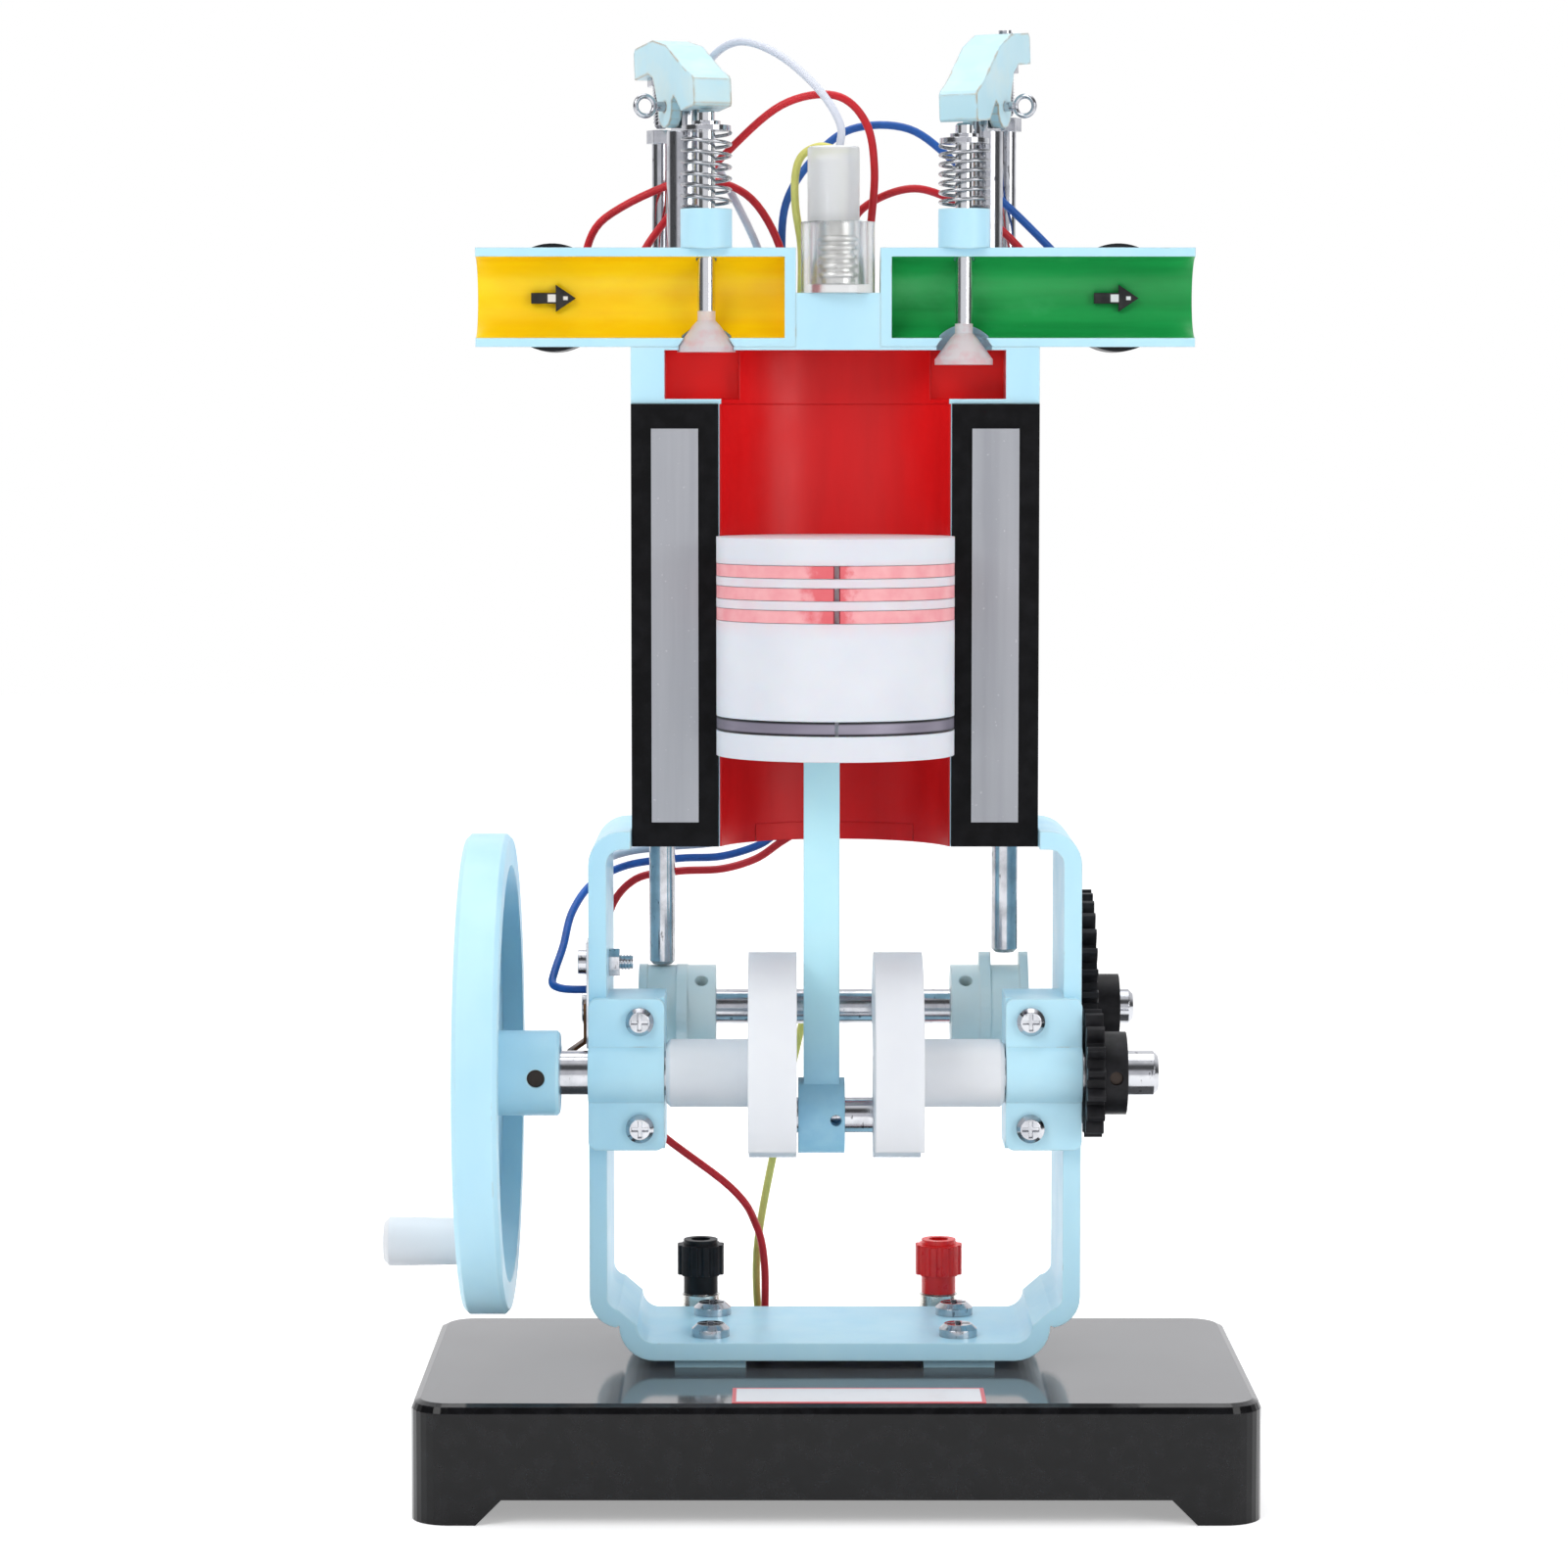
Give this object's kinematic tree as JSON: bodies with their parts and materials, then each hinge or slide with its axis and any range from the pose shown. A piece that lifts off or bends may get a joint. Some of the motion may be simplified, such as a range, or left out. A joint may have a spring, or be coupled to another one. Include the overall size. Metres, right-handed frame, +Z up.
{
  "type": "four-stroke engine model",
  "caption": "Cut-open demonstration engine on a base: turning the flywheel drives the piston and the camshaft; rockers work sprung valves.",
  "frame": {"origin": "centre of the base's footprint, in the plane that it stands on", "axes": "+X along the crankshaft towards the gears, +Y to the back, +Z up the cylinder"},
  "size_m": [0.1936, 0.1176, 0.3276],
  "materials": {
    "blue_plastic": "light blue moulded plastic, satin",
    "yellow_pipe": "light blue outside, painted yellow inside",
    "green_pipe": "light blue outside, painted green inside",
    "black_base": "black gloss moulding",
    "black_plastic": "black, satin",
    "grey_film": "grey paint",
    "white_nylon": "white nylon",
    "pink_ring": "pink paint",
    "dark_steel": "dark spring steel",
    "steel": "nickel-plated steel",
    "clear_plastic": "milky clear plastic",
    "lamp_brass": "lamp cap",
    "brass": "brass",
    "copper": "browned copper",
    "red_plastic": "red moulded plastic",
    "wire_sleeve": "plastic wire sleeves"
  },
  "bodies": {
    "frame": {"base": "black_base", "crankcase_frame": "blue_plastic", "frame_screws": "steel", "left_bearing_cap": "blue_plastic", "right_bearing_cap": "blue_plastic", "cap_screws": "steel", "cylinder_block": "blue_plastic", "section_plates": "black_plastic", "jacket_strips": "grey_film", "cylinder_head": "blue_plastic", "intake_pipe": "yellow_pipe", "exhaust_pipe": "green_pipe", "flow_arrows": "black_plastic", "lamp_housings": "black_plastic", "valve_guides": "blue_plastic", "rocker_posts": "steel", "split_pins": "steel", "plug_socket": "clear_plastic", "plug_lamp": "lamp_brass", "plug_cap": "clear_plastic", "contact_bracket": "steel", "contact_leaf": "copper", "contact_bolt": "steel", "terminal_bodies": "brass", "upper_wires": "wire_sleeve", "lower_wires": "wire_sleeve", "intake_spring": "steel", "exhaust_spring": "steel"},
    "crank": {"left_crank_shaft": "steel", "right_crank_shaft": "steel", "left_crank_web": "white_nylon", "right_crank_web": "white_nylon", "crank_pin": "steel", "flywheel": "blue_plastic", "handle_pin": "steel", "crank_gear": "black_plastic", "grub_screws": "steel"},
    "grip": {"handle_grip": "white_nylon"},
    "stroke_key": {"web_key": "steel"},
    "rod": {"connecting_rod": "blue_plastic", "gudgeon_pin": "steel"},
    "piston": {"piston": "white_nylon", "piston_rings": "pink_ring", "oil_ring": "dark_steel"},
    "cams": {"camshaft": "steel", "intake_cam": "white_nylon", "exhaust_cam": "white_nylon", "cam_gear": "black_plastic"},
    "black_cap": {"black_terminal_cap": "black_plastic"},
    "red_cap": {"red_terminal_cap": "red_plastic"},
    "intake_pushrod": {"intake_pushrod": "steel"},
    "intake_rocker": {"intake_rocker": "blue_plastic", "intake_adjuster": "steel"},
    "intake_valve": {"intake_valve": "steel", "intake_retainer": "steel"},
    "exhaust_pushrod": {"exhaust_pushrod": "steel"},
    "exhaust_rocker": {"exhaust_rocker": "blue_plastic", "exhaust_adjuster": "steel"},
    "exhaust_valve": {"exhaust_valve": "steel", "exhaust_retainer": "steel"}
  },
  "joints": [
    {"name": "crank_spin", "type": "hinge", "parent": "frame", "child": "crank", "pos_m": [0, -0.012, 0.0937], "axis": [1, 0, 0], "continuous": true},
    {"name": "rod_swing", "type": "hinge", "parent": "crank", "child": "rod", "pos_m": [0, -0.006, 0.08331], "axis": [1, 0, 0], "continuous": true},
    {"name": "key_spin", "type": "hinge", "parent": "crank", "child": "stroke_key", "pos_m": [0, -0.009, 0.0885], "axis": [1, 0, 0], "continuous": true},
    {"name": "piston_travel", "type": "hinge", "parent": "stroke_key", "child": "piston", "pos_m": [0, -0.012, 0.08331], "axis": [1, 0, 0], "continuous": true},
    {"name": "cam_spin", "type": "hinge", "parent": "frame", "child": "cams", "pos_m": [0, 0.025, 0.10397], "axis": [1, 0, 0], "continuous": true},
    {"name": "grip_spin", "type": "hinge", "parent": "crank", "child": "grip", "pos_m": [-0.0914, -0.012, 0.0557], "axis": [1, 0, 0], "continuous": true},
    {"name": "intake_lift", "type": "slide", "parent": "frame", "child": "intake_pushrod", "axis": [0, 0, 1], "range_m": [0, 0.0028]},
    {"name": "intake_rock", "type": "hinge", "parent": "frame", "child": "intake_rocker", "pos_m": [-0.0341, 0.012, 0.3093], "axis": [-0.9235, -0.3836, 0], "range_deg": [-11.43, 0]},
    {"name": "intake_valve_travel", "type": "slide", "parent": "frame", "child": "intake_valve", "axis": [0, 0, 1], "range_m": [-0.0028, 0], "deforming": ["intake_spring"]},
    {"name": "exhaust_lift", "type": "slide", "parent": "frame", "child": "exhaust_pushrod", "axis": [0, 0, 1], "range_m": [-0.0028, 0]},
    {"name": "exhaust_rock", "type": "hinge", "parent": "frame", "child": "exhaust_rocker", "pos_m": [0.0341, 0.012, 0.3093], "axis": [-0.9235, 0.3836, 0], "range_deg": [0, 11.43]},
    {"name": "exhaust_valve_travel", "type": "slide", "parent": "frame", "child": "exhaust_valve", "axis": [0, 0, 1], "range_m": [0, 0.0028], "deforming": ["exhaust_spring"]},
    {"name": "black_cap_turn", "type": "hinge", "parent": "frame", "child": "black_cap", "pos_m": [-0.031, 0.0385, 0.0315], "axis": [0, 0, 1], "continuous": true},
    {"name": "red_cap_turn", "type": "hinge", "parent": "frame", "child": "red_cap", "pos_m": [0.025, 0.0385, 0.0315], "axis": [0, 0, 1], "continuous": true}
  ],
  "couplings": [
    {"joint": "rod_swing", "follows": "crank_spin", "ratio": -1},
    {"joint": "key_spin", "follows": "crank_spin", "ratio": -2},
    {"joint": "piston_travel", "follows": "crank_spin", "ratio": 1},
    {"joint": "cam_spin", "follows": "crank_spin", "ratio": -0.5},
    {"joint": "intake_rock", "follows": "intake_lift", "rad_per_m": -71.156},
    {"joint": "intake_valve_travel", "follows": "intake_lift", "ratio": -1},
    {"joint": "exhaust_rock", "follows": "exhaust_lift", "rad_per_m": -71.156},
    {"joint": "exhaust_valve_travel", "follows": "exhaust_lift", "ratio": -1}
  ]
}
